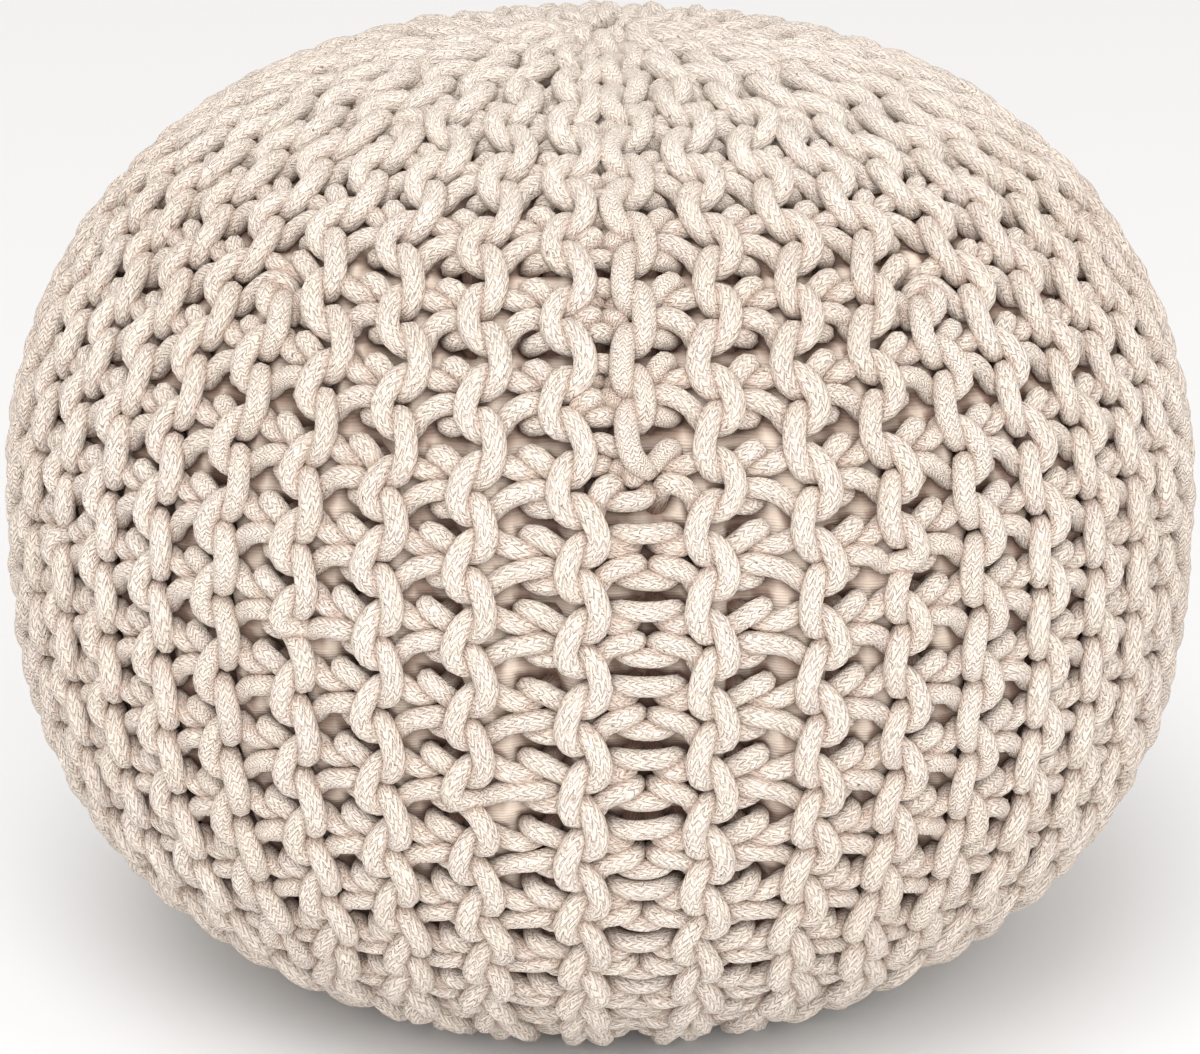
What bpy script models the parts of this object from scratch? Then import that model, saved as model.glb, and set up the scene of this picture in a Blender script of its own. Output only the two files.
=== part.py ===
"""Round knitted floor pouf: a ribbed cord cover, drawn together at its top and underside, over a filled bag.

Row frame: metres, +Z up, origin at the middle of the flat underside, the seam of the cover towards -Y.
"""
import math

import bmesh
import bpy

# whole pouf
WIDEST_RADIUS = 0.250        # to the tops of the ridges
TOP_RISE = 0.190             # from the widest level up to the top
BASE_DROP = 0.213            # from the widest level down to the floor
FLAT_RADIUS = 0.107          # patch that lies flat on the floor
UPPER_HEIGHT_POWER, UPPER_WIDTH_POWER = 1.92, 2.74
LOWER_HEIGHT_POWER, LOWER_WIDTH_POWER = 2.95, 1.34

# cover
CORD = 0.009                 # thickness of the knitted cord
RIDGE_RISE = 0.8 * CORD      # ridges stand this far above the hollows between them
COVER_DEPTH = 2.35 * CORD    # ridge tops to the back of the knit
GATHER_RADIUS = 0.010        # hole left where the ends are drawn together
OUTER_ROWS, INNER_ROWS = 25, 8
POINTS_PER_RIDGE = 4

# ridges counted from the front seam to the back; the other side mirrors them
HALF_RIDGES = 22
SEAM_SHARE = 0.35            # from the front seam to the ridge each side of it, as a share of a bay
LOWER_SEAM_SHARE = 0.68      # the same below the end of the second seam ridge
BACK_SEAM_SHARE = 0.35
FIRST_BAY = 1.2              # the bay beyond the ridge next to the seam is this wide, below the second ridge's end
SEAM_RIDGE_END = 0.292       # the second seam ridge runs this far down from the top
SEAM_RIDGE_FADE = 0.050
FADE_WIDTH = 0.040           # a short ridge reaches full width over this much radius
NARROWEST = 0.25             # share of a full ridge's width that is left where a short one has ended
# short rows: each ridge starts where the cover has this radius, in a pattern of five
SHORT_ROWS = [
    {"place": "long", "start": 0.012},
    {"place": "middle", "start": 0.078},
    {"place": "long middle", "start": 0.045},
    {"place": "short", "start": 0.130},
    {"place": "shortest", "start": 0.205},
]
# points across a ridge, as shares of the way to the next one, and how deep each lies
ACROSS_RIDGE = [
    {"share": -0.36, "depth": 1.0},
    {"share": -0.19, "depth": 0.0},
    {"share": 0.19, "depth": 0.0},
    {"share": 0.36, "depth": 1.0},
]

# bag
BAG_CLEARANCE = 0.0006
BAG_STEPS = 56

COVER_COLOUR = (0.638, 0.539, 0.462, 1.0)
BAG_COLOUR = (0.768, 0.686, 0.584, 1.0)


def smooth_step(x):
    x = min(max(x, 0.0), 1.0)
    return x * x * (3 - 2 * x)


def outline(steps=400):
    """(radius, height) down the outside of the pouf, from the middle of the top to the middle of the underside."""
    level = BASE_DROP
    line = []
    for k in range(steps + 1):
        turn = math.pi / 2 * (1 - k / steps)
        line.append((WIDEST_RADIUS * math.cos(turn) ** (2 / UPPER_WIDTH_POWER),
                     level + TOP_RISE * math.sin(turn) ** (2 / UPPER_HEIGHT_POWER)))
    for k in range(1, steps + 1):
        turn = math.pi / 2 * k / steps
        line.append((FLAT_RADIUS + (WIDEST_RADIUS - FLAT_RADIUS) * math.cos(turn) ** (2 / LOWER_WIDTH_POWER),
                     level - BASE_DROP * math.sin(turn) ** (2 / LOWER_HEIGHT_POWER)))
    line.append((0.0, 0.0))
    return line


def lengths(line):
    run = [0.0]
    for a, b in zip(line, line[1:]):
        run.append(run[-1] + math.dist(a, b))
    return run


LINE = outline()
RUN = lengths(LINE)


def at(way):
    """(radius, height) of the outline's point a distance way along it."""
    for k in range(len(RUN) - 1):
        if RUN[k + 1] >= way:
            f = (way - RUN[k]) / max(RUN[k + 1] - RUN[k], 1e-9)
            return tuple(a + f * (b - a) for a, b in zip(LINE[k], LINE[k + 1]))
    return LINE[-1]


def sunk(way, depth):
    """The outline's point moved inwards by depth."""
    (r0, z0), (r1, z1) = at(max(way - 0.008, 0.0)), at(min(way + 0.008, RUN[-1]))
    run = math.hypot(r1 - r0, z1 - z0)
    r, z = at(way)
    return r + (z1 - z0) / run * depth, z - (r1 - r0) / run * depth


def starts(rows):
    """Distances along the outline from one gathered hole to the other."""
    first = next(run for run, (r, z) in zip(RUN, LINE) if r >= GATHER_RADIUS)
    last = RUN[-1] - GATHER_RADIUS
    return [first + (last - first) * k / (rows - 1) for k in range(rows)]


def ridge_places(way):
    """[(azimuth, fullness, azimuth to the next)] of every ridge, from the seam at the back round to it again."""
    radius = at(way)[0]
    half = []
    for k in range(HALF_RIDGES):
        start = SHORT_ROWS[k % len(SHORT_ROWS)]["start"]
        half.append(smooth_step((radius - start) / FADE_WIDTH + 0.5))
    half[0] = half[-1] = 1.0
    second = smooth_step((SEAM_RIDGE_END - way) / SEAM_RIDGE_FADE + 0.5)
    wide = [max(full, NARROWEST) for full in half]
    bays = [(a + b) / 2 for a, b in zip(wide, wide[1:])] + [BACK_SEAM_SHARE]
    near = SEAM_SHARE * second + LOWER_SEAM_SHARE * (1 - second)
    first = FIRST_BAY + (1 - FIRST_BAY) * second
    left = [near, bays[0] * first] + bays[1:]
    right = [max(SEAM_SHARE * second, 0.1), (second + wide[1]) / 2 + (LOWER_SEAM_SHARE - 0.5) * (1 - second)]
    right += [bays[1] * first] + bays[2:]
    scale = 2 * math.pi / (sum(left) + sum(right))
    seam = scale * sum(left) - math.pi
    turns = [seam - scale * sum(left[:k + 1]) for k in range(HALF_RIDGES)][::-1]
    turns += [seam + scale * sum(right[:k + 1]) for k in range(HALF_RIDGES)]
    fulls = half[::-1] + [second] + half[1:]
    nexts = turns[1:] + [turns[0] + 2 * math.pi]
    return [(turn, full, after - turn) for turn, full, after in zip(turns, fulls, nexts)]


def point(way, column, outer):
    """Where the cover's point in this column lies."""
    if not outer:
        turn = 2 * math.pi * column / COLUMNS - math.pi
        r, z = sunk(way, COVER_DEPTH)
        return -r * math.sin(turn), -r * math.cos(turn), z
    places = ridge_places(way)
    ridge, part = divmod(column, POINTS_PER_RIDGE)
    turn, full, gap = places[ridge]
    before = places[ridge - 1][2]
    across = ACROSS_RIDGE[part]
    turn += across["share"] * (gap if across["share"] > 0 else before)
    rise = RIDGE_RISE * smooth_step((at(way)[1] - 0.001) / 0.012)
    depth = rise * (across["depth"] + (1 - across["depth"]) * (1 - full))
    r, z = sunk(way, depth)
    return r * math.sin(turn), -r * math.cos(turn), z


COLUMNS = 2 * HALF_RIDGES * POINTS_PER_RIDGE


def new_mesh_object(name, bm, colour, roughness, collection):
    bmesh.ops.recalc_face_normals(bm, faces=bm.faces[:])
    mesh = bpy.data.meshes.new(name)
    bm.to_mesh(mesh)
    bm.free()
    material = bpy.data.materials.new(name)
    material.use_nodes = True
    shader = material.node_tree.nodes["Principled BSDF"]
    shader.inputs["Base Color"].default_value = colour
    shader.inputs["Roughness"].default_value = roughness
    shader.inputs["Metallic"].default_value = 0.0
    mesh.materials.append(material)
    made = bpy.data.objects.new(name, mesh)
    collection.objects.link(made)
    return made


def ring_of_points(bm, section, steps):
    """A section (radius, height), spun round Z: rows of points, one row for each point of the section."""
    points = [bm.verts.new((0.0, -r, z)) for r, z in section]
    edges = [bm.edges.new(pair) for pair in zip(points, points[1:] + points[:1])]
    bmesh.ops.spin(bm, geom=points + edges, axis=(0, 0, 1), cent=(0, 0, 0), angle=2 * math.pi, steps=steps,
                   use_merge=True, use_normal_flip=False, use_duplicate=False)
    bm.verts.ensure_lookup_table()


def knit_cover(collection):
    """Spun as one closed ring, then its outer points are moved to raise the ridges."""
    outer, inner = starts(OUTER_ROWS), starts(INNER_ROWS)[::-1]
    rows = [(way, True) for way in outer] + [(way, False) for way in inner]
    section = [sunk(way, 0.0 if is_outer else COVER_DEPTH) for way, is_outer in rows]
    bm = bmesh.new()
    ring_of_points(bm, section, COLUMNS)
    for vert in bm.verts:
        here = (math.hypot(vert.co.x, vert.co.y), vert.co.z)
        row = min(range(len(section)), key=lambda k: math.dist(section[k], here))
        turn = math.atan2(vert.co.x, -vert.co.y)
        column = round((turn + math.pi) / (2 * math.pi) * COLUMNS) % COLUMNS
        way, is_outer = rows[row]
        if is_outer:
            vert.co = point(way, column, True)
    return new_mesh_object("knit_cover", bm, COVER_COLOUR, 0.9, collection)


def filled_bag(collection):
    """The bag and its filling in one solid, with the same rows as the back of the cover."""
    section = [sunk(way, COVER_DEPTH + BAG_CLEARANCE) for way in starts(INNER_ROWS)]
    bm = bmesh.new()
    points = [bm.verts.new((0.0, 0.0, section[0][1]))]
    points += [bm.verts.new((0.0, -r, z)) for r, z in section]
    points += [bm.verts.new((0.0, 0.0, section[-1][1]))]
    edges = [bm.edges.new(pair) for pair in zip(points, points[1:])]
    bmesh.ops.spin(bm, geom=points + edges, axis=(0, 0, 1), cent=(0, 0, 0), angle=2 * math.pi, steps=BAG_STEPS,
                   use_merge=True, use_normal_flip=False, use_duplicate=False)
    bmesh.ops.remove_doubles(bm, verts=bm.verts[:], dist=1e-6)
    return new_mesh_object("filled_bag", bm, BAG_COLOUR, 0.85, collection)


def main():
    for thing in list(bpy.data.objects):
        bpy.data.objects.remove(thing)
    collection = bpy.data.collections.new("knitted_pouf")
    bpy.context.scene.collection.children.link(collection)
    knit_cover(collection)
    filled_bag(collection)


main()
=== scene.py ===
"""Round knitted floor pouf: garter-knit cotton cord over a filled bag, gathered at its top and underside."""
import math

import bmesh
import bpy
import numpy as np
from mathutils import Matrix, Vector
from mathutils.kdtree import KDTree


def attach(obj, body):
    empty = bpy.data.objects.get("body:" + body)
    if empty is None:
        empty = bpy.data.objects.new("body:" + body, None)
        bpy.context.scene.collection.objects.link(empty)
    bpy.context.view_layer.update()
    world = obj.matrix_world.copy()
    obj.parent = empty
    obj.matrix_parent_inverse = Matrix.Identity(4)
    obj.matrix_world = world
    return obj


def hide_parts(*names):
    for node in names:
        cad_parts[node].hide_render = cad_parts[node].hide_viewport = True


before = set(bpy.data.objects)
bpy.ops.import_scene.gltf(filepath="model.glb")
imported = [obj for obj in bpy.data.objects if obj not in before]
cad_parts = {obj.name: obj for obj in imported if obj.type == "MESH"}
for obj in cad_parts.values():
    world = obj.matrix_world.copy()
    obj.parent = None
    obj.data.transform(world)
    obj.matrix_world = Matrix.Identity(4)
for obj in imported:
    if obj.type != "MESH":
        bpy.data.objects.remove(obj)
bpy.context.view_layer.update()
CHANCE = np.random.default_rng(11)

# ---------------------------------------------------------------- the whole pouf, in metres
WIDEST = 0.250                         # radius to the tops of the ridges
TOP_RISE, BASE_DROP = 0.190, 0.213     # from the widest level up to the top, and down to the floor
FLAT = 0.107                           # radius of the patch that lies on the floor
UPPER_POWERS, LOWER_POWERS = (1.92, 2.74), (2.95, 1.34)      # (height, width)
OUTLINE_STEPS, BASE_STEPS, SCALE_STEPS = 1500, 200, 800
NORMAL_REACH = 12                      # a normal is averaged over this many steps each way
CORD = 0.0090
MIDDLE_DEPTH = 1.3 * CORD              # ridge tops to the middle of the knit's thickness

# ---------------------------------------------------------------- ridges; a bay is from one ridge to the next
LEFT, RIGHT = -1, 1                    # of the front seam, seen from the front
HALF_RIDGES = 22                       # from the front seam to the back one, each side
SEAM_SHARE, LOWER_SEAM_SHARE = 0.35, 0.68    # from the front seam to its ridge, in bays, near the top and low
BACK_SEAM_SHARE = 0.35
FIRST_BAY = 1.2                        # the bay beyond that ridge, below the second seam ridge's end
SEAM_RIDGE_END, SEAM_RIDGE_FADE = 0.292, 0.050     # the way down to where the second seam ridge ends
STRAP_FROM = (0.17, 0.22)              # between these ways down it narrows to a strap
STRAP_WIDTH, STRAP_DEPTH = 0.40, 0.35  # its share of a ridge, and how deep its left edge lies, in cords
FADE_WIDTH = 0.040                     # a short ridge reaches full width over this much radius
SHORT_ROW_STARTS = (0.012, 0.078, 0.045, 0.130, 0.205)       # radius where each ridge of five starts
FADE_DEPTH, FADE_RATE = 0.9, 1.3       # how deep a short ridge's end lies, in cords, and how fast it rises
OUTER_SHARE, INNER_SHARE = 0.62, 0.38  # how a bay is shared at its hollow; the ridge nearer the seam has less
SEAM_REACH, BACK_REACH = 0.76, 0.64    # how far from its ridge the hollow beside a seam lies, seam at 1
ARC = 0.0053                           # half the width of a ridge, between its cords' middles

# ---------------------------------------------------------------- stitches
FIRST_STITCH = 0.1024                  # the way down to the middle of stitch 2
PITCHES = [                            # stitch pitch down the side, from the middle of the top
    {"down_to": 0.150, "pitch": 0.0380},
    {"down_to": 0.300, "pitch": 0.0335},
    {"down_to": 0.470, "pitch": 0.0300},
    {"down_to": 0.600, "pitch": 0.0325},
    {"down_to": 0.760, "pitch": 0.0300},
]
LEAST_FULL, LEAST_RADIUS = 0.35, 0.026   # stitches stop where their ridge or the knit is narrower
DRIFT_LEVELS = np.arange(-10, 50)
DRIFT_REACH, DRIFT_SIZE = 4, 0.055     # stitches slip down the side with those this near, and how far
UNEVEN = {"level": 0.030, "side": 0.0007, "thick": 0.030, "lift": 0.04}
LOW_THICK, RIDGE_THICK = 0.90, 0.10    # thickness of a cord in the hollows, and how much more on the ridge
RIDGE_LIFT = 0.5                       # from this lift on a cord has all its thickness
LACE_THICK = 0.88
LACE_ROOM, BACK_LACE_ROOM = (0.0055, 0.0132), 0.0045    # each side of the seam; front: near the top, low
ROW_STEPS, LACE_STEPS = 2, 3           # points on a cord for each point of its table
ROW_RADIUS, LACE_RADIUS = 0.012, 0.02  # near a gathered hole, azimuths are worked out at this radius

# one stitch of a row whose heads stand on the ridge; across is the share of the way from the ridge to the
# hollow, side is metres towards the front seam, level is stitches down, lift is outwards in cord thicknesses
HEAD_ROW = [
    {"across": 1.50, "side": 0.0, "level": -0.57, "lift": -1.55},
    {"across": 1.45, "side": 0.0, "level": -0.45, "lift": -1.30},
    {"across": 1.28, "side": 0.0, "level": -0.35, "lift": -0.62},
    {"across": 1.02, "side": 0.0, "level": -0.31, "lift": -0.16},
    {"across": 0.66, "side": 0.0, "level": -0.31, "lift": 0.04},
    {"across": 0.00, "side": -ARC, "level": -0.34, "lift": -0.12},
    {"across": 0.00, "side": -0.05 * ARC, "level": -0.32, "lift": 0.22},
    {"across": 0.00, "side": 0.66 * ARC, "level": -0.17, "lift": 0.52},
    {"across": 0.00, "side": 1.12 * ARC, "level": 0.05, "lift": 0.66},
    {"across": 0.00, "side": 0.84 * ARC, "level": 0.21, "lift": 0.50},
    {"across": 0.00, "side": 0.0, "level": 0.32, "lift": 0.18},
    {"across": 0.00, "side": -ARC, "level": 0.33, "lift": -0.12},
    {"across": 0.72, "side": 0.0, "level": 0.20, "lift": 0.10},
    {"across": 1.00, "side": 0.0, "level": 0.10, "lift": 0.26},
    {"across": 1.22, "side": 0.0, "level": 0.08, "lift": 0.14},
    {"across": 1.38, "side": 0.0, "level": 0.13, "lift": -0.50},
    {"across": 1.48, "side": 0.0, "level": 0.26, "lift": -1.35},
]
# one stitch of a row whose feet stand on the ridge, from one foot to the next
FOOT_ROW = [
    {"across": 0.00, "side": -1.12 * ARC, "level": -0.44, "lift": 0.66},
    {"across": 0.00, "side": -0.84 * ARC, "level": -0.29, "lift": 0.50},
    {"across": 0.00, "side": 0.0, "level": -0.23, "lift": 0.18},
    {"across": 0.00, "side": ARC, "level": -0.25, "lift": -0.12},
    {"across": 0.44, "side": 0.0, "level": -0.39, "lift": 0.08},
    {"across": 0.70, "side": 0.0, "level": -0.48, "lift": 0.26},
    {"across": 0.94, "side": 0.0, "level": -0.51, "lift": 0.28},
    {"across": 1.12, "side": 0.0, "level": -0.49, "lift": -0.02},
    {"across": 1.22, "side": 0.0, "level": -0.38, "lift": -0.85},
    {"across": 1.25, "side": 0.0, "level": -0.12, "lift": -1.60},
    {"across": 1.21, "side": 0.0, "level": 0.08, "lift": -1.50},
    {"across": 1.09, "side": 0.0, "level": 0.18, "lift": -0.80},
    {"across": 0.92, "side": 0.0, "level": 0.23, "lift": -0.18},
    {"across": 0.70, "side": 0.0, "level": 0.24, "lift": 0.16},
    {"across": 0.46, "side": 0.0, "level": 0.20, "lift": 0.14},
    {"across": 0.00, "side": ARC, "level": 0.14, "lift": -0.12},
    {"across": 0.00, "side": 0.05 * ARC, "level": 0.19, "lift": 0.22},
    {"across": 0.00, "side": -0.66 * ARC, "level": 0.34, "lift": 0.52},
]
# one stitch of the cord that laces the two ends of the knit together; side is a share of the room it has
LACE_ROW = [
    {"side": -1.15, "level": -0.52, "lift": -1.10},
    {"side": -0.85, "level": -0.42, "lift": -0.22},
    {"side": -0.35, "level": -0.36, "lift": 0.14},
    {"side": 0.35, "level": -0.36, "lift": 0.14},
    {"side": 0.85, "level": -0.42, "lift": -0.22},
    {"side": 1.15, "level": -0.52, "lift": -1.10},
    {"side": 1.25, "level": -0.20, "lift": -1.75},
    {"side": 1.15, "level": 0.22, "lift": -1.10},
    {"side": 0.85, "level": 0.13, "lift": -0.16},
    {"side": 0.35, "level": 0.10, "lift": 0.20},
    {"side": -0.35, "level": 0.10, "lift": 0.20},
    {"side": -0.85, "level": 0.13, "lift": -0.16},
    {"side": -1.15, "level": 0.22, "lift": -1.10},
    {"side": -1.25, "level": 0.36, "lift": -1.75},
]
GATHER_REACH = 0.036                   # a cord that comes this near the middle of an end runs into its hole
GATHERED_END = [                       # how it does: metres left to the middle, and lift
    {"left": 0.0230, "lift": 0.15},
    {"left": 0.0145, "lift": -0.70},
    {"left": 0.0120, "lift": -2.60},
]
SUNK_END = (-1.0, -2.0)                # lift of the last two points of any other cord's end
END_THICK = (0.6, 0.8)                 # thickness at the tip of an end, and at its start


def smooth_step(x):
    x = np.clip(x, 0.0, 1.0)
    return x * x * (3 - 2 * x)


# ---------------------------------------------------------------- the outside of the pouf
def outline():
    """Way, radius, height and normal down the outside, from the middle of the top to the underside's."""
    turn = np.linspace(0, math.pi / 2, OUTLINE_STEPS)
    radius = WIDEST * np.sin(turn) ** (2 / UPPER_POWERS[1])
    height = BASE_DROP + TOP_RISE * np.cos(turn) ** (2 / UPPER_POWERS[0])
    low_radius = FLAT + (WIDEST - FLAT) * np.cos(turn[1:]) ** (2 / LOWER_POWERS[1])
    low_height = BASE_DROP * (1 - np.sin(turn[1:]) ** (2 / LOWER_POWERS[0]))
    base = np.linspace(1, 0, BASE_STEPS)[1:] * FLAT
    line = np.stack([np.concatenate([radius, low_radius, base]),
                     np.concatenate([height, low_height, 0 * base])], 1)
    run = np.concatenate([[0], np.cumsum(np.hypot(*np.diff(line, axis=0).T))])
    way = np.linspace(0, run[-1], OUTLINE_STEPS)
    r, z = (np.interp(way, run, line[:, k]) for k in (0, 1))
    dr, dz = np.gradient(r, way), np.gradient(z, way)
    kernel = np.hanning(2 * NORMAL_REACH + 1)
    kernel /= kernel.sum()
    dr, dz = (np.convolve(np.pad(d, NORMAL_REACH, mode="edge"), kernel, "valid") for d in (dr, dz))
    size = np.hypot(dr, dz)
    return way, r, z, -dz / size, dr / size


WAY, RADIUS, HEIGHT, NORMAL_R, NORMAL_Z = outline()


def radius_at(way):
    return np.interp(way, WAY, RADIUS)


def place(way, turn, lift):
    """The row-frame point at that way down and azimuth, lift metres out from the middle of the knit."""
    out = lift - MIDDLE_DEPTH
    r = radius_at(way) + out * np.interp(way, WAY, NORMAL_R)
    z = np.interp(way, WAY, HEIGHT) + out * np.interp(way, WAY, NORMAL_Z)
    return np.stack([r * np.sin(turn), -r * np.cos(turn), z], -1)


def unrolled(points):
    """Way down, azimuth and lift of points near the knit."""
    radius, height = np.hypot(points[:, 0], points[:, 1]), points[:, 2]
    angle = np.arctan2(radius, height - BASE_DROP)
    middle_r, middle_z = RADIUS - MIDDLE_DEPTH * NORMAL_R, HEIGHT - MIDDLE_DEPTH * NORMAL_Z
    way = np.interp(angle, np.arctan2(middle_r, middle_z - BASE_DROP), WAY)
    for _ in range(2):
        nr, nz = np.interp(way, WAY, NORMAL_R), np.interp(way, WAY, NORMAL_Z)
        dr, dz = radius - np.interp(way, WAY, middle_r), height - np.interp(way, WAY, middle_z)
        way = np.clip(way + dr * nz - dz * nr, 0, WAY[-1])
    lift = dr * nr + dz * nz
    return way, np.arctan2(points[:, 0], -points[:, 1]), lift


def stitch_scale():
    """Way and stitch number down the side."""
    way = np.linspace(0, WAY[-1], SCALE_STEPS)
    pitch = np.interp(way, [0.0] + [row["down_to"] for row in PITCHES for _ in (0, 1)][:-1],
                      [row["pitch"] for row in PITCHES for _ in (0, 1)])
    number = np.concatenate([[0], np.cumsum(np.diff(way) / pitch[1:])])
    return way, number - np.interp(FIRST_STITCH, way, number) + 2


STITCH_WAY, STITCH_NUMBER = stitch_scale()


def way_of(number):
    """The way down to that stitch number, at the same pitch beyond both ends."""
    low = STITCH_WAY[0] + (number - STITCH_NUMBER[0]) * PITCHES[0]["pitch"]
    high = STITCH_WAY[-1] + (number - STITCH_NUMBER[-1]) * PITCHES[-1]["pitch"]
    inside = np.interp(number, STITCH_NUMBER, STITCH_WAY)
    return np.where(number < STITCH_NUMBER[0], low, np.where(number > STITCH_NUMBER[-1], high, inside))


# ---------------------------------------------------------------- where the ridges run
def ridge_layout():
    """Down the outline: the seam's azimuth; a bay's angle; for each side how far each ridge is from the seam,
    in bays, and how full it is; how near the seam is; how full the second seam ridge is; how wide the first
    bay is."""
    full = np.stack([smooth_step((RADIUS - SHORT_ROW_STARTS[k % len(SHORT_ROW_STARTS)]) / FADE_WIDTH + 0.5)
                     for k in range(HALF_RIDGES)])
    full[0] = full[-1] = 1.0
    second = smooth_step((SEAM_RIDGE_END - WAY) / SEAM_RIDGE_FADE + 0.5)
    near = SEAM_SHARE * second + LOWER_SEAM_SHARE * (1 - second)
    first = FIRST_BAY + (1 - FIRST_BAY) * second
    bays = OUTER_SHARE * full[1:] + INNER_SHARE * full[:-1]
    left = np.concatenate([[near], [bays[0] * first], bays[1:]])
    beside = OUTER_SHARE * full[1] + INNER_SHARE * second + (LOWER_SEAM_SHARE - OUTER_SHARE) * (1 - second)
    right = np.concatenate([[SEAM_SHARE * second], [beside], [bays[1] * first], bays[2:]])
    bay = 2 * math.pi / (left.sum(0) + right.sum(0) + 2 * BACK_SEAM_SHARE)
    seam = bay * (left.sum(0) + BACK_SEAM_SHARE) - math.pi
    right_full = np.concatenate([[second], full[1:]])
    places = {LEFT: (np.cumsum(left, 0), full), RIGHT: (np.cumsum(right, 0), right_full)}
    return seam, bay, places, near, second, first


SEAM, BAY, RIDGES, NEAR, SECOND, FIRST = ridge_layout()


def wander(count, reach, size):
    """Smooth chance numbers, each like those within reach of it."""
    kernel = np.hanning(2 * reach + 1)
    kernel /= np.sqrt((kernel ** 2).sum())
    return size * np.convolve(CHANCE.normal(0, 1, count + 2 * reach), kernel, "valid")


# one line of slips for every second ridge, and some more beyond both seams
DRIFT = {hand: np.stack([wander(len(DRIFT_LEVELS), DRIFT_REACH, DRIFT_SIZE)
                         for _ in range(HALF_RIDGES // 2 + 4)]) for hand in (LEFT, RIGHT)}


def drift(hand, ridge, level):
    """How far stitches have slipped down the side, in stitches; neighbours slip together."""
    lines = np.stack([np.interp(level, DRIFT_LEVELS, line) for line in DRIFT[hand]])
    knot = np.clip(ridge / 2 + 1, 0, len(lines) - 1.001)
    low, chosen = knot.astype(int), np.arange(len(level))
    return lines[low, chosen] * (1 - knot % 1) + lines[low + 1, chosen] * (knot % 1)


def uneven(count, size, every=4):
    """Chance numbers that change smoothly from one to the next."""
    knots = count // every + 3
    return np.interp(np.arange(count) / every, np.arange(knots), CHANCE.normal(0, size, knots))


# ---------------------------------------------------------------- the rows of the knit
def repeated(stitch, numbers):
    """The stitch's columns, once for each stitch number, with the levels counted down the whole side."""
    columns = {key: np.tile([point[key] for point in stitch], len(numbers)).astype(float)
               for key in stitch[0]}
    columns["level"] += np.repeat(numbers, len(stitch)).astype(float)
    return columns


def row_line(hand, ridge, numbers, stitch, inward):
    """Control points down one row: x, y, z, thickness. An inward row lies on its ridge's seam side."""
    places, full = RIDGES[hand]
    c = repeated(stitch, numbers)
    count = len(c["level"])
    share, outwards = (OUTER_SHARE, -1) if inward else (INNER_SHARE, 1)
    slip = drift(hand, ridge + outwards * share * c["across"], c["level"])
    way = way_of(c["level"] + slip + uneven(count, UNEVEN["level"]))
    second, to_seam, first = (np.interp(way, WAY, line) for line in (SECOND, NEAR, FIRST))
    fullness = np.interp(way, WAY, full[ridge])
    width = share * fullness
    first_ridge = 0 if hand == LEFT else 1
    if ridge == first_ridge + inward:
        width *= first
    if inward and ridge == 0:
        width = to_seam * SEAM_REACH
    if inward and ridge == 1 and hand == RIGHT:
        width = width * second + to_seam * SEAM_REACH * (1 - second)
    if not inward and ridge == HALF_RIDGES - 1:
        width = BACK_SEAM_SHARE * BACK_REACH
    column = np.interp(way, WAY, places[ridge]) + outwards * c["across"] * width
    narrowed = np.interp(way, STRAP_FROM, (0, 1)) if hand == RIGHT and ridge == 0 else np.zeros(count)
    strap = smooth_step(narrowed)
    side = c["side"] * (1 - (1 - STRAP_WIDTH) * strap) * (1 if ridge == 0 else np.sqrt(fullness))
    side = (side + uneven(count, UNEVEN["side"])) / np.maximum(radius_at(way), ROW_RADIUS)
    turn = np.interp(way, WAY, SEAM) + hand * (column * np.interp(way, WAY, BAY) - side)
    thick = LOW_THICK + RIDGE_THICK * smooth_step(c["lift"] / RIDGE_LIFT) + uneven(count, UNEVEN["thick"])
    sunk = 0 if ridge == 0 else FADE_DEPTH * (1 - smooth_step(fullness * FADE_RATE))
    sunk = sunk + (STRAP_DEPTH * strap if inward else 0)
    lift = (c["lift"] + uneven(count, UNEVEN["lift"]) - sunk) * CORD
    return led_away(way, turn, lift, thick)


def lace_line(numbers, back):
    """Control points of a lacing cord, down the front seam or the back one."""
    c = repeated(LACE_ROW, numbers)
    count = len(c["level"])
    way = way_of(c["level"] + uneven(count, UNEVEN["level"]))
    if back:
        seam, room = math.pi, BACK_LACE_ROOM
    else:
        seam = np.interp(way, WAY, SEAM)
        room = np.interp(np.interp(way, WAY, NEAR), (SEAM_SHARE, LOWER_SEAM_SHARE), LACE_ROOM)
    turn = seam + c["side"] * room / np.maximum(radius_at(way), LACE_RADIUS)
    return led_away(way, turn, c["lift"] * CORD, np.full(count, LACE_THICK))


def led_away(way, turn, lift, thick):
    """The row's points, its ends led down behind the knit, or into the gathered hole if they reach that."""
    ends = []
    for end, pole in ((0, 0.0), (-1, WAY[-1])):
        inwards = np.sign(pole - way[end])
        if abs(pole - way[end]) < GATHER_REACH:
            ends.append(([pole - point["left"] * inwards for point in GATHERED_END],
                         [point["lift"] * CORD for point in GATHERED_END]))
        else:
            ends.append(([way[end]] * len(SUNK_END), [depth * CORD for depth in SUNK_END]))
    (top_way, top_lift), (low_way, low_lift) = ends
    low_lift = np.minimum(low_lift, 0.0)
    way = np.concatenate([top_way[::-1], way, low_way])
    lift = np.concatenate([top_lift[::-1], lift, low_lift])
    turn = np.concatenate([np.full(len(top_way), turn[0]), turn, np.full(len(low_way), turn[-1])])
    thick = np.concatenate([np.linspace(*END_THICK, len(top_way)), thick,
                            np.linspace(*END_THICK[::-1], len(low_way))])
    return np.concatenate([place(way, turn, lift), thick[:, None]], 1)


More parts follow.
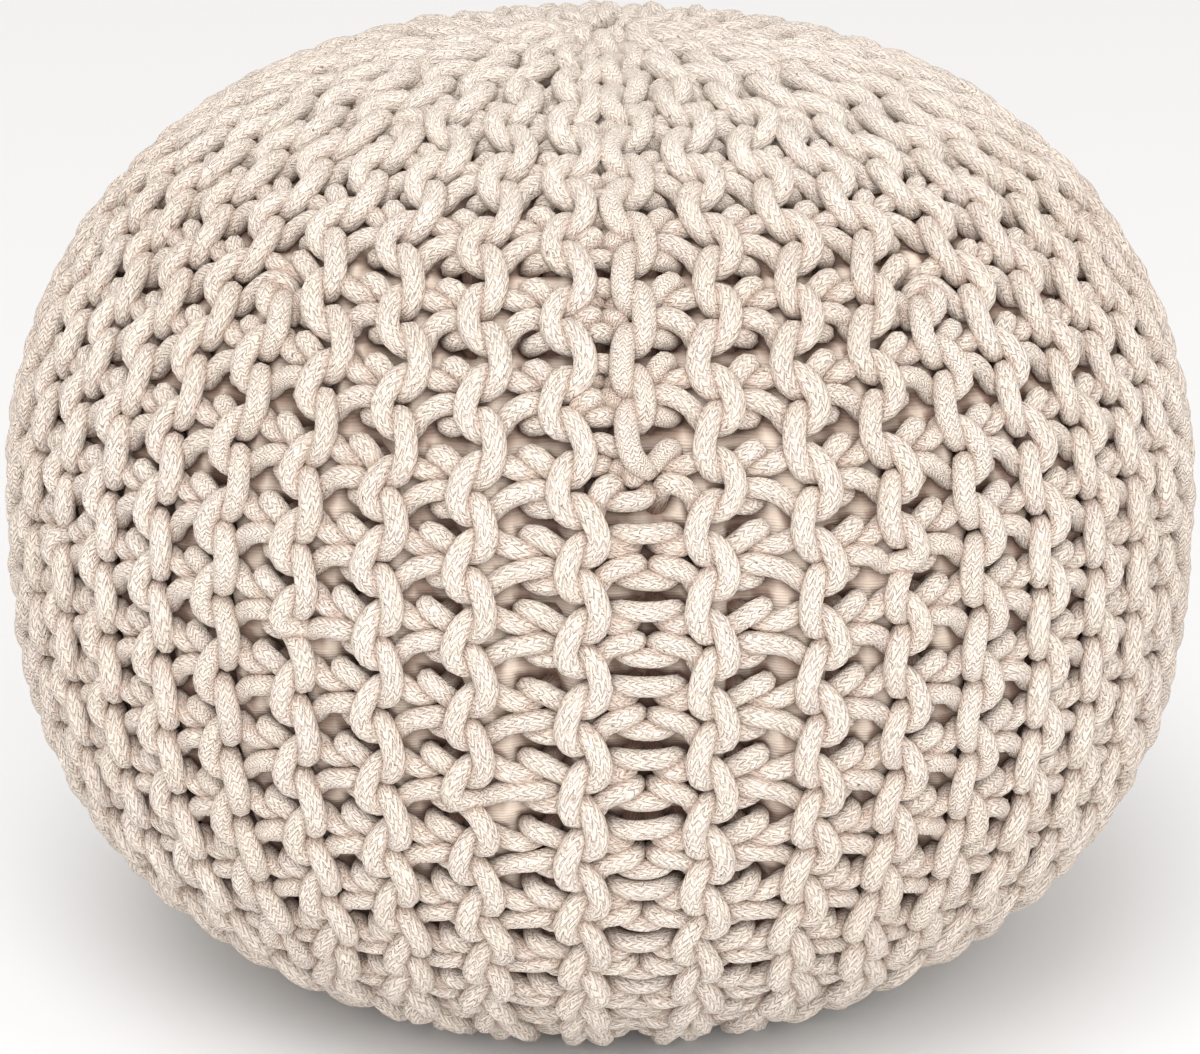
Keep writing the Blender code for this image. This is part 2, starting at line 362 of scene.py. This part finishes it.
def spline(points, per):
    """Points along a smooth curve through these, with per points to each stretch."""
    p = np.concatenate([points[:1] * 2 - points[1:2], points, points[-1:] * 2 - points[-2:-1]])
    t = (np.arange(per) / per)[:, None, None]
    a, b, c, d = (p[k:len(p) - 3 + k][None] for k in range(4))
    square, cube = 2 * a - 5 * b + 4 * c - d, 3 * b - a - 3 * c + d
    out = 0.5 * (2 * b + (c - a) * t + square * t ** 2 + cube * t ** 3)
    out = out.transpose(1, 0, 2).reshape(-1, points.shape[1])
    return np.concatenate([out, points[-1:]])


def stitches_of(full):
    """The numbers of the stitches that a ridge this full has."""
    numbers = np.arange(-2, 40)
    way = way_of(numbers * 1.0)
    inside = (way > 0) & (way < WAY[-1]) & (np.interp(way, WAY, full) > LEAST_FULL)
    keep = numbers[inside & (radius_at(way) > LEAST_RADIUS)]
    return np.arange(keep[0], keep[-1] + 1)


def knit_rows():
    """Every cord of the cover: [{hand, ridge, points (n, 3), thick (n)}]."""
    rows = []

    def add(hand, ridge, control, per):
        line = spline(control, per)
        rows.append({"hand": hand, "ridge": ridge, "points": line[:, :3], "thick": line[:, 3]})

    for hand in (LEFT, RIGHT):
        for ridge in range(HALF_RIDGES):
            numbers = stitches_of(RIDGES[hand][1][ridge])
            for stitch, inward in ((HEAD_ROW, False), (FOOT_ROW, True)):
                add(hand, ridge, row_line(hand, ridge, numbers, stitch, inward), ROW_STEPS)
    numbers = stitches_of(np.ones(len(WAY)))
    for ridge, back in ((0, False), (HALF_RIDGES - 1, True)):
        add(LEFT, ridge, lace_line(numbers, back), LACE_STEPS)
    return rows


# ---------------------------------------------------------------- settling the cords against each other
TOUCH = 0.76                           # cords push while their middles are nearer than this, in thicknesses
PUSH, STIFF, HOLD_BACK = 0.20, 0.5, 0.97     # in each step: what share is pushed away, evened out and kept
FLOOR_LIFT = 0.38 * CORD               # a cord's middle stays this far above the floor


def near_pairs(points, owner, along, reach=1.2 * CORD, apart=5):
    """Pairs of points within reach of each other, if on one cord then with more than apart points between."""
    tree = KDTree(len(points))
    for k, co in enumerate(points):
        tree.insert(co, k)
    tree.balance()
    one, two = [], []
    for k, co in enumerate(points):
        for _, j, _ in tree.find_range(co, reach):
            if j > k and (owner[j] != owner[k] or along[j] - along[k] > apart):
                one.append(k)
                two.append(j)
    return np.array(one), np.array(two)


def settle(rows, rounds=5, steps=12):
    """Cords push each other apart until they touch, keep their bends smooth, and stay above the floor."""
    start = np.concatenate([row["points"] for row in rows])
    thick = np.concatenate([row["thick"] for row in rows])
    owner = np.concatenate([np.full(len(row["points"]), k) for k, row in enumerate(rows)])
    along = np.concatenate([np.arange(len(row["points"])) for row in rows])
    shift = np.zeros_like(start)
    index = np.where((owner[1:-1] == owner[:-2]) & (owner[1:-1] == owner[2:]))[0] + 1
    for _ in range(rounds):
        one, two = near_pairs(start + shift, owner, along)
        reach = TOUCH * CORD * (thick[one] + thick[two]) / 2
        for _ in range(steps):
            points = start + shift
            gap = points[one] - points[two]
            size = np.linalg.norm(gap, axis=1) + 1e-9
            push = gap * (PUSH * np.maximum(reach - size, 0) / size)[:, None]
            for axis in range(3):
                shift[:, axis] += np.bincount(one, push[:, axis], len(points))
                shift[:, axis] -= np.bincount(two, push[:, axis], len(points))
            shift[index] += STIFF * ((shift[index - 1] + shift[index + 1]) / 2 - shift[index])
            shift *= HOLD_BACK
            shift[:, 2] = np.maximum(shift[:, 2], FLOOR_LIFT - start[:, 2])
    points = start + shift
    note_touches(rows, points, *near_pairs(points, owner, along))
    return rows


def note_touches(rows, points, one, two):
    """Gives each row its new points and those that it touches: its own point's number, the other's place."""
    one, two = np.concatenate([one, two]), np.concatenate([two, one])
    order = np.argsort(one, kind="stable")
    one, two = one[order], two[order]
    begin = 0
    for row in rows:
        end = begin + len(row["points"])
        row["points"] = points[begin:end]
        low, high = np.searchsorted(one, [begin, end])
        row["touched"] = (one[low:high] - begin, points[two[low:high]])
        begin = end


# ---------------------------------------------------------------- making the pieces
SIDES_ROUND = 8
HIDDEN = -0.95 * CORD                  # what lies deeper than this is hidden behind the knit
# painted crease shade fades out over this distance from a touching cord
CREASE_SHADE_REACH = 0.42 * CORD
DEPTH_RANGE = (-1.2, 2.0)


def mark(mesh, name, values):
    """An attribute with a number for each point."""
    mesh.attributes.new(name, "FLOAT", "POINT").data.foreach_set("value", values)


def mark_depth(mesh, co):
    """How deep each point lies below the middle of the knit, in cord thicknesses."""
    mark(mesh, "depth", np.clip(-unrolled(co)[2] / CORD, *DEPTH_RANGE))


def mark_crease_shade(mesh, co, rows):
    """How much painted crease shade each point of a cord gets: 1 where its outside touches another cord, down
    to 0 at the crease reach from any.
    """
    rings = co.reshape(-1, SIDES_ROUND, 3)
    clear = np.full(rings.shape[:2], CORD)
    begin = 0
    for row in rows:
        own, other = row["touched"]
        gap = np.linalg.norm(rings[begin + own] - other[:, None], axis=2) - CORD / 2
        np.minimum.at(clear, begin + own, gap)
        begin += len(row["points"])
    mark(mesh, "crease_shade", smooth_step(1 - clear / CREASE_SHADE_REACH).ravel())


def thinned(row):
    """The row without every second point where it lies hidden behind the knit."""
    hidden = unrolled(row["points"])[2] < HIDDEN
    keep = ~hidden | (np.arange(len(hidden)) % 2 == 0)
    keep[[0, -1]] = True
    number = np.cumsum(keep) - 1
    own, other = row["touched"]
    return {"points": row["points"][keep], "thick": row["thick"][keep],
            "touched": (number[own[keep[own]]], other[keep[own]])}


def points_of(mesh):
    """The mesh's points, one row each."""
    co = np.empty(len(mesh.vertices) * 3)
    mesh.vertices.foreach_get("co", co)
    return co.reshape(-1, 3)


def finished_piece(name, mesh, co, material):
    """The mesh with its points at co, smooth and painted, as a piece in the scene."""
    mesh.vertices.foreach_set("co", co.ravel())
    mark_depth(mesh, co)
    mesh.polygons.foreach_set("use_smooth", np.ones(len(mesh.polygons), bool))
    mesh.materials.clear()
    mesh.materials.append(material)
    piece = bpy.data.objects.new(name, mesh)
    bpy.context.scene.collection.objects.link(piece)
    return piece


def tubes(name, rows):
    """The mesh of a bevelled curve along these rows."""
    curve = bpy.data.curves.new(name, "CURVE")
    curve.dimensions = "3D"
    curve.bevel_depth = CORD / 2
    curve.bevel_resolution = (SIDES_ROUND - 4) // 2
    for row in rows:
        line = curve.splines.new("POLY")
        line.points.add(len(row["points"]) - 1)
        line.points.foreach_set("co", np.insert(row["points"], 3, 1.0, axis=1).ravel())
        line.points.foreach_set("radius", row["thick"])
    made = bpy.data.objects.new(name + "_line", curve)
    bpy.context.scene.collection.objects.link(made)
    mesh = bpy.data.meshes.new_from_object(made.evaluated_get(bpy.context.evaluated_depsgraph_get()))
    bpy.data.objects.remove(made)
    mesh.name = name
    return mesh


def map_cords(mesh, rows):
    """A map that runs along each cord in metres, and once round it from 0 to 1."""
    runs = [np.cumsum(np.linalg.norm(np.diff(row["points"], axis=0), axis=1)) for row in rows]
    along = np.concatenate([np.concatenate([[0], run]) for run in runs])
    around = np.tile(np.arange(SIDES_ROUND) / SIDES_ROUND, len(along))
    along = np.repeat(along, SIDES_ROUND)
    corner = np.empty(len(mesh.loops), int)
    mesh.loops.foreach_get("vertex_index", corner)
    u, v = along[corner], around[corner]
    # the side that closes each ring runs on to 1, not back to 0
    last_side = v.reshape(-1, 4).max(1) - v.reshape(-1, 4).min(1) > 0.5
    v = np.where(np.repeat(last_side, 4) & (v < 0.5), v + 1.0, v)
    cord_map = mesh.uv_layers.new(name="cord_map")
    cord_map.data.foreach_set("uv", np.stack([u, v], 1).ravel())


def close_ends(mesh):
    """Fills the tubes' ends."""
    bm = bmesh.new()
    bm.from_mesh(mesh)
    bmesh.ops.holes_fill(bm, edges=[edge for edge in bm.edges if edge.is_boundary], sides=0)
    bmesh.ops.recalc_face_normals(bm, faces=bm.faces[:])
    bm.to_mesh(mesh)
    bm.free()


def cord_piece(name, rows, material):
    """Tubes along these rows, as one piece that stays above the floor."""
    rows = [thinned(row) for row in rows]
    mesh = tubes(name, rows)
    map_cords(mesh, rows)
    co = points_of(mesh)
    co[:, 2] = np.maximum(co[:, 2], 0.0)
    mark_crease_shade(mesh, co, rows)
    piece = finished_piece(name, mesh, co, material)
    close_ends(mesh)
    return piece


# ---------------------------------------------------------------- finishes
class Value:
    """A number on a socket, which can be used in sums."""

    def __init__(self, finish, socket):
        self.finish, self.socket = finish, socket

    def sum(self, operation, *others, first=None):
        values = ([] if first is None else [first]) + [self] + list(others)
        node = self.finish.node("ShaderNodeMath", {"operation": operation}, dict(enumerate(values)))
        return Value(self.finish, node.outputs[0])

    def __add__(self, other):
        return self.sum("ADD", other)

    def __sub__(self, other):
        return self.sum("SUBTRACT", other)

    def __rsub__(self, other):
        return self.sum("SUBTRACT", first=other)

    def __mul__(self, other):
        return self.sum("MULTIPLY", other)

    def __truediv__(self, other):
        return self.sum("DIVIDE", other)

    def __abs__(self):
        return self.sum("ABSOLUTE")

    def part(self):
        return self.sum("FRACT")

    def wave(self):
        return self.sum("SINE")

    def between(self, low, high):
        """0 below low, 1 above high, and smooth between."""
        node = self.finish.node("ShaderNodeMapRange", {"interpolation_type": "SMOOTHSTEP"},
                                {"Value": self, "From Min": low, "From Max": high})
        return Value(self.finish, node.outputs[0])

    __radd__, __rmul__ = __add__, __mul__


class Finish:
    """One material and its nodes."""

    def __init__(self, name, roughness, sheen=0.0):
        self.material = bpy.data.materials.new(name)
        self.material.use_nodes = True
        self.tree = self.material.node_tree
        self.shader = self.tree.nodes["Principled BSDF"]
        self.shader.inputs["Roughness"].default_value = roughness
        self.shader.inputs["Sheen Weight"].default_value = sheen
        self.shader.inputs["Sheen Roughness"].default_value = 0.5
        self.shader.inputs["Sheen Tint"].default_value = (1.0, 0.88, 0.78, 1)
        self.shader.inputs["Specular IOR Level"].default_value = 0.2
        where = self.node("ShaderNodeTexCoord")
        self.place, self.map = where.outputs["Object"], where.outputs["UV"]

    def node(self, kind, settings=None, values=None):
        made = self.tree.nodes.new(kind)
        for key, setting in (settings or {}).items():
            setattr(made, key, setting)
        for key, value in (values or {}).items():
            value = value.socket if isinstance(value, Value) else value
            if isinstance(value, bpy.types.NodeSocket):
                self.tree.links.new(value, made.inputs[key])
            else:
                made.inputs[key].default_value = value
        return made

    def number(self, attribute):
        node = self.node("ShaderNodeAttribute", {"attribute_name": attribute})
        return Value(self, node.outputs["Fac"])

    def parts(self, vector):
        node = self.node("ShaderNodeSeparateXYZ", values={0: vector})
        return [Value(self, node.outputs[k]) for k in range(3)]

    def vector(self, x, y, z):
        return self.node("ShaderNodeCombineXYZ", values={0: x, 1: y, 2: z}).outputs[0]

    def noise(self, vector, scale, detail=2.0):
        """Noise with about scale lumps to each unit of the vector."""
        node = self.node("ShaderNodeTexNoise", values={"Vector": vector, "Scale": scale, "Detail": detail})
        return Value(self, node.outputs["Fac"])

    def mix(self, amount, one, two):
        """From one colour to the other as amount goes from 0 to 1."""
        one, two = ((*c, 1.0) if isinstance(c, tuple) else c for c in (one, two))
        return self.node("ShaderNodeMix", {"data_type": "RGBA"}, {0: amount, 6: one, 7: two}).outputs[2]

    def bump(self, height, distance, strength=1.0, below=None):
        values = {"Height": height, "Distance": distance, "Strength": strength}
        if below is not None:
            values["Normal"] = below
        return self.node("ShaderNodeBump", values=values).outputs[0]

    def shade_low_and_side(self):
        """Where shade is painted heavier: 1 down by the floor and 0 higher up; 1 far left and right and 0 in
        the middle.
        """
        x, _, z = self.parts(self.place)
        return 1.0 - z.between(0.03, 0.20), abs(x).between(0.08, 0.22)

    def paint(self, colour, normal=None):
        for key, value in (("Base Color", colour), ("Normal", normal)):
            if isinstance(value, bpy.types.NodeSocket):
                self.tree.links.new(value, self.shader.inputs[key])
            elif value is not None:
                self.shader.inputs[key].default_value = (*value, 1)
        return self.material


BRAID_COLUMNS, BRAID_PITCH = 8, 0.0017     # chevron columns round the cord, and the strands' pitch along it
# cotton colours: the dark tints between strands, in lines, in creases and deep down are painted shade, and
# the light top tint is painted light
COTTON = {
    "plain": (0.828, 0.728, 0.636), "pale": (0.874, 0.787, 0.700), "rosy": (0.800, 0.695, 0.655),
    "shade between strands": (0.420, 0.300, 0.225), "groove shade line": (0.220, 0.140, 0.100),
    "fibre": (0.91, 0.81, 0.72), "fuzz": (0.87, 0.77, 0.69), "crease_shade": (0.420, 0.235, 0.150),
    "deep shade": (0.190, 0.088, 0.055), "painted top light": (0.940, 0.865, 0.795), "fleck": (0.15, 0.09, 0.06),
}
RIB_PITCH, THREAD_PITCH = 0.0012, 0.0010
THREAD_RADIUS = 0.235                  # the upright threads have their pitch where the bag has this radius
# cloth colours: the shaded and deep tints are painted shade
CLOTH = {
    "plain": (0.920, 0.785, 0.665), "pale": (0.950, 0.835, 0.720), "between threads": (0.560, 0.390, 0.290),
    "shaded": (0.210, 0.112, 0.078), "deep shade": (0.170, 0.088, 0.060),
}


def cotton_finish():
    """Braided natural cotton: chevron strands along the cord, loose fibres, and a few dark flecks; with
    painted shade between strands, in grooves, in creases, deep in the knit, low down and at the sides, and
    painted light on the top.
    """
    finish = Finish("cotton_cord", 0.95, sheen=0.45)
    along, around, _ = finish.parts(finish.map)
    low, side = finish.shade_low_and_side()
    # 1 on the top, where light is painted on and the painted shade is weaker
    top = finish.parts(finish.place)[2].between(0.33, 0.40)
    # painted shade: the deeper in the knit the darker, and more so low down by the floor and at the far sides
    depth = finish.number("depth") + low * 0.50 + side * 0.32
    crease_shade = finish.number("crease_shade")

    ripple = finish.noise(finish.place, 260.0, 3.0) - 0.5
    column = abs((around * BRAID_COLUMNS + ripple * 0.9).part() - 0.5) * 2.0
    strand = (along / BRAID_PITCH + column * 1.0 + ripple * 2.2).part()
    yarn = (1.0 - abs(strand - 0.5) * 2.0).between(0.0, 0.60)
    height = yarn * (1.0 - column.between(0.84, 1.0) * 0.35) * (column.between(0.0, 0.14) * 0.25 + 0.75)
    fibre = finish.noise(finish.vector(along * 1500.0 + column * 3.0, around * 70.0, ripple * 6.0), 1.0, 3.0)
    fuzz = finish.noise(finish.place, 1300.0, 4.0)
    lump = finish.noise(finish.place, 330.0, 2.0)
    patch = finish.noise(finish.place, 14.0, 3.0)
    blotch = finish.noise(finish.place, 70.0, 2.0)
    # patches where painted shade lines lie in the grooves between strands
    line_shade_patches = finish.noise(finish.place, 420.0, 2.0)
    # painted shade lines deepest in the grooves, in those patches, weaker on the top
    line = (1.0 - height).between(0.60, 0.95) * line_shade_patches.between(0.46, 0.56) * (1.0 - top * 0.6)
    fleck = finish.noise(finish.place, 640.0, 0.0).between(0.80, 0.84)

    colour = finish.mix(patch.between(0.35, 0.65), COTTON["plain"], COTTON["pale"])
    for amount, tint in (
            (blotch.between(0.42, 0.75) * 0.50, "rosy"),
            # painted shade in the hollows between the braid's strands, weaker on the top
            ((1.0 - height) * (1.0 - top * 0.4) * 0.35, "shade between strands"),
            # painted shade lines in the grooves
            (line * 0.52, "groove shade line"),
            (fibre.between(0.45, 0.70) * 0.20, "fibre"),
            (fuzz.between(0.40, 0.75) * 0.22, "fuzz"),
            # painted shade in the creases where cords touch, weaker on the top
            (crease_shade.between(0.35, 1.0) * (1.0 - top * 0.7) * 0.38, "crease_shade"),
            # painted shade deep in the knit, low down and at the sides
            (depth.between(-0.10, 1.0) * 0.94, "deep shade"),
            # painted light on the top
            (top * 0.35, "painted top light"),
            (fleck * 0.75, "fleck")):
        colour = finish.mix(amount, colour, COTTON[tint])
    normal = finish.bump(height, 0.00052, 1.0)
    normal = finish.bump(fibre, 0.00034, 1.0, below=normal)
    normal = finish.bump(lump, 0.00080, 0.6, below=normal)
    return finish.paint(colour, finish.bump(fuzz, 0.00042, 1.0, below=normal))


def cloth_finish():
    """Plain-woven cream cloth with a fine rib across it, with painted shade below the cords, deep behind the
    knit, low down and at the sides.
    """
    finish = Finish("bag_cloth", 0.85, sheen=0.15)
    x, y, z = finish.parts(finish.place)
    low, side = finish.shade_low_and_side()
    # painted shade: the deeper the cloth the darker, and more so low down by the floor and at the far sides
    depth, shade = finish.number("depth") + low * 0.45 + side * 0.45, finish.number("shade")
    waver = finish.noise(finish.place, 60.0, 2.0)
    rib = (z * (2 * math.pi / RIB_PITCH) + waver * 5.0).wave() * 0.5 + 0.5
    turn = x.sum("ARCTAN2", y)
    thread = (turn * (2 * math.pi * THREAD_RADIUS / THREAD_PITCH)).wave() * 0.5 + 0.5
    weave = rib * (thread * 0.35 + 0.65)
    slub = finish.noise(finish.vector(turn * 40.0, 0.0, z * 900.0), 1.0, 2.0)
    colour = finish.mix(slub.between(0.3, 0.7), CLOTH["plain"], CLOTH["pale"])
    for amount, tint in (
            ((1.0 - weave) * 0.18, "between threads"),
            (shade.between(0.10, 0.95) * (side * 0.16 + 0.80), "shaded"),
            # painted shade on the deep cloth
            (depth.between(0.75, 1.35) * 0.94, "deep shade")):
        colour = finish.mix(amount, colour, CLOTH[tint])
    return finish.paint(colour, finish.bump(weave, 0.00025, 0.8))


def plain_finish(name, colour, roughness):
    return Finish(name, roughness).paint(colour)


# ---------------------------------------------------------------- the knit
PARTS = {"front": (0, 6), "side": (6, 14), "back": (14, HALF_RIDGES)}      # their ridges
cotton = cotton_finish()
rows = settle(knit_rows())
for hand, side in ((LEFT, "left"), (RIGHT, "right")):
    for part, (low, high) in PARTS.items():
        chosen = [row for row in rows if row["hand"] == hand and low <= row["ridge"] < high]
        piece = cord_piece(f"knit_{side}_{part}", chosen, cotton)
        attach(piece, "root")
        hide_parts("knit_cover")


# ---------------------------------------------------------------- the bag, bulging out through the knit
BAG_AROUND, BAG_DOWN = 440, 190        # its points round the pouf, and down it
BAG_TURN = 2 * math.pi / BAG_AROUND
BAG_LIFT = -1.75 * CORD                # where the cloth would lie if it didn't swell
BAG_SWELL = 0.00075                    # how far it swells in each round, while its tension evens it out
LESS_SWELL = {"way": (0.40, 0.54), "share": (1.0, 0.45)}     # low down it swells less
BAG_TOP = -0.30 * CORD                 # no cloth comes out further than this
BAG_HOLDS = -1.15 * CORD               # cords deeper than this press into the bag, under its cloth
BAG_HELD = 0.53 * CORD                 # a cord's radius, as the cloth meets it
BAG_PRESSED = 0.4 * CORD               # how far inwards from BAG_LIFT a cord may press the cloth
BAG_COVERED = BAG_TOP - 0.1 * CORD     # cloth that a cord holds deeper than this is covered by it
BAG_RADIUS = 0.01                      # near its ends, the grid's steps round are worked out at this radius
BAG_ROUNDS = 260
SHADE_REACH = 0.014                    # the cloth is in shade this far below a cord
BAG_LOWEST = 0.0008                    # above the floor


def most_lifts(way, turn, lift, down, radius):
    """The lift that cords at those places leave the cloth, at each point of the bag's grid."""
    most = np.full((BAG_DOWN, BAG_AROUND), BAG_TOP)
    near_down, near_turn = np.rint(way / down[1]).astype(int), np.rint(turn / BAG_TURN).astype(int)
    for i in range(-2, 3):
        row = np.clip(near_down + i, 0, BAG_DOWN - 1)
        for j in range(-3, 4):
            column = near_turn + j
            side = (column * BAG_TURN - turn) * radius[row]
            gap = np.hypot(down[row] - way, side)
            under = lift - np.sqrt(np.maximum(BAG_HELD ** 2 - gap ** 2, 0))
            held = gap < BAG_HELD
            np.minimum.at(most, (row[held], column[held] % BAG_AROUND), under[held])
    return most


def bag_lifts(rows):
    """At each point of a grid, how far the bag's cloth stands out, pressed out between the cords and held by
    them, and how much it lies in their shade."""
    points = np.concatenate([(row["points"][1:] + row["points"][:-1]) / 2 for row in rows]
                            + [row["points"] for row in rows])
    cords = np.stack(unrolled(points))
    down = np.linspace(0, WAY[-1], BAG_DOWN)
    swell = BAG_SWELL * np.interp(down, LESS_SWELL["way"], LESS_SWELL["share"])[:, None]
    radius = np.maximum(radius_at(down), BAG_RADIUS)
    most = most_lifts(*cords[:, cords[2] > BAG_HOLDS], down, radius)
    covered = (most < BAG_COVERED).astype(float)
    most = np.maximum(most, BAG_LIFT - BAG_PRESSED)
    out = np.full_like(most, BAG_LIFT)
    stretch = np.clip((down[1] / (radius * BAG_TURN)) ** 2, 0.05, 20)[:, None]
    for _ in range(BAG_ROUNDS):
        beside = (np.roll(out, 1, 1) + np.roll(out, -1, 1)) * stretch
        padded = np.pad(out, ((1, 1), (0, 0)), mode="edge")
        out = (beside + padded[2:] + padded[:-2]) / (2 + 2 * stretch) + swell
        out = np.minimum(out, most)
    shade = covered.copy()
    for back in (1, 2, 3):
        shade[back:] = np.maximum(shade[back:], covered[:-back] * (1 - back * down[1] / SHADE_REACH))
    return down, out, shade


def bag():
    """Spun as a smooth closed form, then its points are moved out to where the knit lets the cloth come."""
    down, out, shade = bag_lifts(rows)
    bm = bmesh.new()
    line = place(down, 0 * down, np.full(len(down), BAG_LIFT))
    line[0, :2] = line[-1, :2] = 0
    verts = [bm.verts.new(p) for p in line]
    edges = [bm.edges.new(pair) for pair in zip(verts, verts[1:])]
    bmesh.ops.spin(bm, geom=verts + edges, axis=(0, 0, 1), cent=(0, 0, 0), angle=2 * math.pi,
                   steps=BAG_AROUND, use_merge=True, use_normal_flip=False, use_duplicate=False)
    bmesh.ops.remove_doubles(bm, verts=bm.verts[:], dist=1e-6)
    bmesh.ops.recalc_face_normals(bm, faces=bm.faces[:])
    mesh = bpy.data.meshes.new("bag")
    bm.to_mesh(mesh)
    bm.free()
    co = points_of(mesh)
    way, turn, _ = unrolled(co)
    row = np.rint(way / down[1]).astype(int)
    column = np.rint(turn / BAG_TURN).astype(int) % BAG_AROUND
    off_pole = (row > 0) & (row < BAG_DOWN - 1)
    co[off_pole] = place(down[row], turn, out[row, column])[off_pole]
    co[:, 2] = np.maximum(co[:, 2], BAG_LOWEST)
    mark(mesh, "shade", shade[row, column])
    return finished_piece("bag", mesh, co, cloth_finish())


piece = bag()
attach(piece, "root")
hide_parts("filled_bag")

# ---------------------------------------------------------------- floor and light
bpy.ops.mesh.primitive_plane_add(size=12, location=(0, 2, 0))
floor = bpy.context.object
floor.name = "floor"
floor.data.materials.append(plain_finish("floor_paint", (0.905, 0.925, 0.945), 0.7))
world = bpy.data.worlds.new("soft_room")
bpy.context.scene.world = world
world.use_nodes = True
world.node_tree.nodes["Background"].inputs["Color"].default_value = (1.0, 0.955, 0.91, 1)
world.node_tree.nodes["Background"].inputs["Strength"].default_value = 0.68
bpy.context.scene.view_settings.view_transform = "Standard"


def lamp(name, kind, size, energy, at, aim):
    """A light; size is a sun's angle, or an area light's width in metres."""
    data = bpy.data.lights.new(name, kind)
    if kind == "SUN":
        data.angle = size
    else:
        data.size = size
    data.energy = energy
    made = bpy.data.objects.new(name, data)
    made.location = at
    made.rotation_euler = (Vector(aim) - Vector(at)).to_track_quat("-Z", "Y").to_euler()
    bpy.context.scene.collection.objects.link(made)


lamp("window_light", "SUN", math.radians(34), 0.98, (-0.40, -1.55, 3.1), (0, 0, 0.2))
lamp("front_light", "AREA", 2.4, 76, (0.2, -3.0, 1.5), (0, 0, 0.2))

# ---------------------------------------------------------------- camera
EYE_DISTANCE, EYE_ANGLE = 1.75, math.radians(16)
SENSOR = 36.0
PHOTO_WIDTH, PHOTO_FOCUS, PHOTO_SHIFT = 1200, 4150, -58      # in the photo's pixels
camera = bpy.data.objects.new("camera", bpy.data.cameras.new("camera"))
bpy.context.scene.collection.objects.link(camera)
bpy.context.scene.camera = camera
aim = Vector((0, 0, BASE_DROP))
camera.location = aim + EYE_DISTANCE * Vector((0, -math.cos(EYE_ANGLE), math.sin(EYE_ANGLE)))
camera.rotation_euler = (aim - camera.location).to_track_quat("-Z", "Y").to_euler()
camera.data.sensor_width = SENSOR
camera.data.lens = PHOTO_FOCUS / PHOTO_WIDTH * SENSOR
camera.data.shift_y = PHOTO_SHIFT / PHOTO_WIDTH
